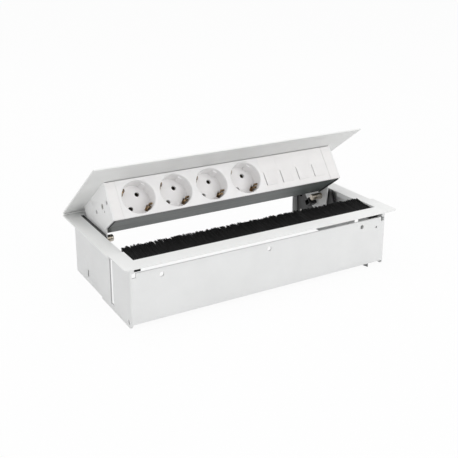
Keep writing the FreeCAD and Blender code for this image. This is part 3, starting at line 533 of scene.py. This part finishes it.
def makeBristles():
    dice = random.Random(brush["seed"])
    points = []
    faces = []
    reach = brush["half"] - brush["radius"]
    count = int(2 * reach / brush["pitch"])
    length = brush["tip"] - brush["root"]
    sides = brush["sides"]
    # each tuft has its own length, rise and lean
    tufts = [
        (dice.uniform(-1, 1), dice.uniform(-1, 1), dice.gauss(0, brush["fan"]))
        for _ in range(int(2 * reach / brush["tuftWidth"]) + 1)
    ]
    for row in range(brush["rows"]):
        share = row / (brush["rows"] - 1)
        level = brush["rowLow"] + (brush["rowHigh"] - brush["rowLow"]) * share
        for index in range(count):
            x = -reach + (index + dice.uniform(*brush["scatter"])) * brush["pitch"]
            tuft = int((x + reach) / brush["tuftWidth"])
            longer, higher, lean = tufts[tuft]
            lean += dice.gauss(0, brush["fan"])
            heart = (tuft + 0.5) * brush["tuftWidth"] - reach
            strand = length + brush["ragged"] * longer + dice.gauss(0, brush["stray"])
            tip = brush["tipHigh"] - brush["tipSpread"] * (1 - share) ** 2
            lift = (tip - level) * (1 + brush["tipShare"] * higher) + dice.gauss(0, brush["stray"])
            first = len(points)
            for stop, thick in brush["stops"]:
                drawn = (lean * strand + (heart - x) * brush["gather"]) * stop * stop
                middleX = max(-reach, min(reach, x + drawn))
                y = brush["root"] + strand * stop
                z = level + max(lift, brush["sag"]) * stop * stop
                for corner in range(sides):
                    turn = corner * 2 * math.pi / sides + index
                    size = brush["radius"] * thick
                    points.append(
                        ((middleX + size * math.cos(turn)) * mm, y * mm, (z + size * math.sin(turn)) * mm)
                    )
            for ring in range(len(brush["stops"]) - 1):
                for corner in range(sides):
                    a = first + ring * sides + corner
                    b = first + ring * sides + (corner + 1) % sides
                    faces.append((a, b, b + sides, a + sides))
            faces.append(tuple(range(len(points) - sides, len(points))))
    mesh = bpy.data.meshes.new("brush_bristles_strands")
    mesh.from_pydata(points, [], faces)
    mesh.update()
    smoothBelow(mesh, brush["smoothAngle"])
    piece = addPiece("brush_bristles_strands", mesh, "brush_bristles")
    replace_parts(piece, "brush_bristles")
    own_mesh(piece)
    print("bristles:", brush["rows"] * count)


makeBristles()


# Screws and rivets

def revolve(profile, steps):
    # profile of (radius, height) pairs from the rim to the middle, turned about Z
    work = bmesh.new()
    rings = []
    for radius, height in profile:
        if radius == 0:
            rings.append([work.verts.new((0, 0, height * mm))])
        else:
            ring = []
            for step in range(steps):
                turn = 2 * math.pi * step / steps
                at = (radius * mm * math.cos(turn), radius * mm * math.sin(turn), height * mm)
                ring.append(work.verts.new(at))
            rings.append(ring)
    for low, high in zip(rings, rings[1:]):
        for step in range(steps):
            following = (step + 1) % steps
            if len(high) == 1:
                work.faces.new((low[step], low[following], high[0]))
            elif len(low) == 1:
                work.faces.new((low[0], high[following], high[step]))
            else:
                work.faces.new((low[step], low[following], high[following], high[step]))
    mesh = bpy.data.meshes.new("revolved")
    work.to_mesh(mesh)
    work.free()
    return mesh


def crossRecessed(screw):
    # a screw with a cross recess cut into its head
    size = (screw["crossLength"], screw["crossWidth"], screw["crossDepth"] * 2)
    spot = Matrix.Translation((0, 0, screw["top"] * mm))
    boxes = [spot @ Matrix.Rotation(turn, 4, "Z") @ boxSize(size) for turn in (0, math.pi / 2)]
    return cutBoxes(revolve(screw["profile"], fixings["screwSteps"]), boxes)


def setAll(name, master, spots, node):
    # copies of one mesh at several spots, joined as one piece
    work = bmesh.new()
    for spot in spots:
        copy = master.copy()
        copy.transform(spot)
        work.from_mesh(copy)
        bpy.data.meshes.remove(copy)
    mesh = bpy.data.meshes.new(name)
    work.to_mesh(mesh)
    work.free()
    smoothBelow(mesh, fixings["smoothAngle"])
    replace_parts(addPiece(name, mesh, node), node)


fixings = {"screwSteps": 40, "rivetSteps": 32, "smoothAngle": 35}
endScrew = {
    "profile": [
        (0, -3.6),
        (1.5, -3.6),
        (1.5, -1.45),
        (3.0, -1.45),
        (3.25, -1.2),
        (3.25, -0.35),
        (3.05, -0.05),
        (2.6, 0.0),
        (0, 0.0),
    ],
    "at": (-75.2, -19.8),
    "face": 149.5,
    "top": 0.0,
    "twist": 0.5,
    "crossWidth": 0.9,
    "crossLength": 3.6,
    "crossDepth": 1.0,
}
guideScrew = {
    "profile": [(0, -5.2), (1.5, -5.2), (1.5, -1.6), (3.05, -0.12), (3.05, -0.02), (0, -0.02)],
    "spots": ((15.5, -27.0), (69.0, -46.0)),
    "face": 150.5,
    "top": -0.02,
    "twist": 0.3,
    "crossWidth": 0.8,
    "crossLength": 3.2,
    "crossDepth": 1.0,
}
lidRivet = {
    "profile": [(0, 0.0), (2.5, 0.0), (2.5, 0.25), (2.3, 0.55), (1.7, 0.85), (0.9, 0.98), (0, 1.0)],
    "spots": (24.0, 39.0),
    "x": 142.5,
    "under": -0.8,
}


def makeFixings():
    facing = {"left": -1, "right": 1}
    endMesh = crossRecessed(endScrew)
    guideMesh = crossRecessed(guideScrew)
    rivetMesh = revolve(lidRivet["profile"], fixings["rivetSteps"])
    for side, sign in facing.items():
        outwards = Matrix.Rotation(sign * math.pi / 2, 4, "Y")
        y, z = endScrew["at"]
        spot = Matrix.Translation((sign * endScrew["face"] * mm, y * mm, z * mm))
        twist = Matrix.Rotation(endScrew["twist"], 4, "Z")
        placed = tiltPlace @ spot @ outwards @ twist
        setAll("end_screw_%s_cross" % side, endMesh, [placed], "end_screw_" + side)
        inwards = Matrix.Rotation(-sign * math.pi / 2, 4, "Y")
        spots = []
        for turn, (y, z) in enumerate(guideScrew["spots"]):
            spot = Matrix.Translation((sign * guideScrew["face"] * mm, y * mm, z * mm))
            spots.append(spot @ inwards @ Matrix.Rotation(turn + guideScrew["twist"], 4, "Z"))
        setAll("guide_screws_%s_cross" % side, guideMesh, spots, "guide_screws_" + side)
        down = Matrix.Rotation(math.pi, 4, "X")
        spots = []
        for forward in lidRivet["spots"]:
            place = Matrix.Translation((sign * lidRivet["x"] * mm, -forward * mm, lidRivet["under"] * mm))
            spots.append(tiltPlace @ place @ down)
        setAll("lid_rivets_%s_domed" % side, rivetMesh, spots, "lid_rivets_" + side)


makeFixings()
print("fixings made")


# Floor, light and camera

studio = {
    "floorLevel": -66.55 * mm,  # just under the box's lower edges
    "floorSize": 14.0,
    "floorColour": (0.84, 0.84, 0.84),
    "floorCells": 8,
    "floorRough": 0.9,
    "floorSpecular": 0.1,
    "floorGlow": 0.945,
    "sky": 0.62,
    "lamps": {
        # name: place, size, watts
        "keyBox": ((0.75, -1.75, 0.85), 1.7, 13.0),
        "leftBox": ((-1.7, -0.5, 0.9), 1.2, 2.0),
        "lowBox": ((-1.6, -0.9, 0.36), 0.8, 1.6),
        "topBox": ((-0.2, 0.4, 2.1), 1.6, 15.0),
    },
}


def seenDirectly(tree):
    # 1 for what the camera sees, also mirrored in a piece or through it, and 0 for light on the pieces
    path = tree.nodes.new("ShaderNodeLightPath")
    seen = path.outputs["Is Camera Ray"]
    for kind in ("Is Glossy Ray", "Is Transmission Ray"):
        either = tree.nodes.new("ShaderNodeMath")
        either.operation = "MAXIMUM"
        tree.links.new(seen, either.inputs[0])
        tree.links.new(path.outputs[kind], either.inputs[1])
        seen = either.outputs[0]
    return seen


def makeFloor():
    work = bmesh.new()
    cells = studio["floorCells"]
    bmesh.ops.create_grid(work, x_segments=cells, y_segments=cells, size=studio["floorSize"])
    mesh = bpy.data.meshes.new("floor")
    work.to_mesh(mesh)
    work.free()
    floor = addObject("floor", mesh)
    floor.location.z = studio["floorLevel"]
    made = bpy.data.materials.new("paleFloor")
    made.use_nodes = True
    tree = made.node_tree
    shader = tree.nodes["Principled BSDF"]
    shader.inputs["Base Color"].default_value = (*studio["floorColour"], 1)
    shader.inputs["Roughness"].default_value = studio["floorRough"]
    shader.inputs["Specular IOR Level"].default_value = studio["floorSpecular"]
    glow = tree.nodes.new("ShaderNodeEmission")
    glow.inputs["Color"].default_value = (1, 1, 1, 1)
    glow.inputs["Strength"].default_value = 1.0
    seen = tree.nodes.new("ShaderNodeMath")
    seen.operation = "MULTIPLY"
    seen.inputs[1].default_value = studio["floorGlow"]
    mix = tree.nodes.new("ShaderNodeMixShader")
    tree.links.new(seenDirectly(tree), seen.inputs[0])
    tree.links.new(seen.outputs[0], mix.inputs["Fac"])
    tree.links.new(shader.outputs[0], mix.inputs[1])
    tree.links.new(glow.outputs[0], mix.inputs[2])
    tree.links.new(mix.outputs[0], tree.nodes["Material Output"].inputs["Surface"])
    mesh.materials.append(made)


def makeSky():
    world = bpy.data.worlds.new("paleSky")
    bpy.context.scene.world = world
    world.use_nodes = True
    tree = world.node_tree
    back = tree.nodes["Background"]
    back.inputs["Color"].default_value = (1, 1, 1, 1)
    ranged = tree.nodes.new("ShaderNodeMapRange")
    ranged.inputs["To Min"].default_value = studio["sky"]
    ranged.inputs["To Max"].default_value = 1.0
    tree.links.new(seenDirectly(tree), ranged.inputs["Value"])
    tree.links.new(ranged.outputs["Result"], back.inputs["Strength"])


def makeLamps():
    for name, (place, size, watts) in studio["lamps"].items():
        lamp = bpy.data.lights.new(name, "AREA")
        lamp.shape = "SQUARE"
        lamp.size = size
        lamp.energy = watts
        holder = addObject(name, lamp)
        holder.location = place
        holder.rotation_euler = (-Vector(place)).to_track_quat("-Z", "Y").to_euler()


# the photo's viewpoint, from a fit to its corners: metres, degrees, and millimetres for lens and sensor
view = {
    "place": (-0.42405, -0.72718, 0.31266),
    "turnRight": 30.11,
    "lookDown": 16.39,
    "lens": 60.5,
    "sensor": 36,
    "nearest": 0.01,
    "shiftUp": -0.15,
}


def makeCamera():
    eye = bpy.data.cameras.new("eye")
    eye.sensor_width = view["sensor"]
    eye.lens = view["lens"]
    eye.shift_y = view["shiftUp"]
    eye.clip_start = view["nearest"]
    holder = addObject("eye", eye)
    holder.location = view["place"]
    holder.rotation_euler = (math.radians(90 - view["lookDown"]), 0, -math.radians(view["turnRight"]))
    bpy.context.scene.camera = holder


makeFloor()
makeSky()
makeLamps()
makeCamera()
bpy.context.scene.view_settings.view_transform = "Standard"
print("floor, light and camera set")
